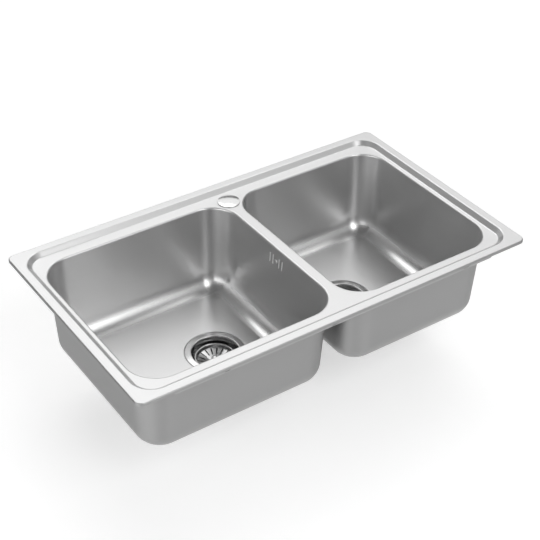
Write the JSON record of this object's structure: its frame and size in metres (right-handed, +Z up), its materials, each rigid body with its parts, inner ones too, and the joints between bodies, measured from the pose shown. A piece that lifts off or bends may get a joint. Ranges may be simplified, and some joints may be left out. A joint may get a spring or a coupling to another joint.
{
  "type": "inset kitchen sink",
  "caption": "Inset stainless steel kitchen sink with a large and a small bowl, basket strainer wastes, an overflow and a capped tap hole, hung from its rim in a worktop.",
  "frame": {"origin": "plan centre of the rim, on the plane of the worktop that the lip stands on", "axes": "+X to the right along the sink, from the large bowl to the small one; +Y to the back, where the tap hole is; +Z up"},
  "size_m": [0.83, 0.48, 0.2808],
  "materials": {
    "bowl_steel": "satin brushed stainless steel sheet",
    "rail_steel": "bright zinc-plated steel strip",
    "waste_steel": "pressed and polished stainless steel",
    "chrome": "bright chrome plate",
    "screw_steel": "turned stainless steel",
    "white_plastic": "moulded polypropylene",
    "black_rubber": "moulded rubber",
    "foam": "closed-cell foam strip",
    "sound_pad": "bitumen damping pad"
  },
  "bodies": {
    "sink": {"deck": "bowl_steel", "left_bowl": "bowl_steel", "right_bowl": "bowl_steel", "front_clip_rail": "rail_steel", "rear_clip_rail": "rail_steel", "left_clip_rail": "rail_steel", "right_clip_rail": "rail_steel", "left_waste_flange": "waste_steel", "right_waste_flange": "waste_steel", "tap_hole_cap": "chrome", "left_clamp_screw": "screw_steel", "right_clamp_screw": "screw_steel", "overflow_screw": "screw_steel", "left_waste_body": "white_plastic", "right_waste_body": "white_plastic", "overflow_box": "white_plastic", "overflow_pipe": "white_plastic", "overflow_pipe_nuts": "white_plastic", "cap_washer": "white_plastic", "cap_wing_nut": "white_plastic", "left_flange_seal": "black_rubber", "right_flange_seal": "black_rubber", "left_body_gasket": "black_rubber", "right_body_gasket": "black_rubber", "cap_gasket": "black_rubber", "overflow_gasket": "black_rubber", "rim_seal": "foam", "left_sound_pads": "sound_pad", "right_sound_pads": "sound_pad"},
    "left_strainer": {"left_basket": "waste_steel", "left_basket_knob": "chrome", "left_basket_grip": "white_plastic", "left_basket_seal": "black_rubber"},
    "right_strainer": {"right_basket": "waste_steel", "right_basket_knob": "chrome", "right_basket_grip": "white_plastic", "right_basket_seal": "black_rubber"}
  },
  "joints": [
    {"name": "left_strainer_lift", "type": "slide", "parent": "sink", "child": "left_strainer", "axis": [0, 0, 1], "range_m": [0, 0.06]},
    {"name": "right_strainer_lift", "type": "slide", "parent": "sink", "child": "right_strainer", "axis": [0, 0, 1], "range_m": [0, 0.06]}
  ]
}
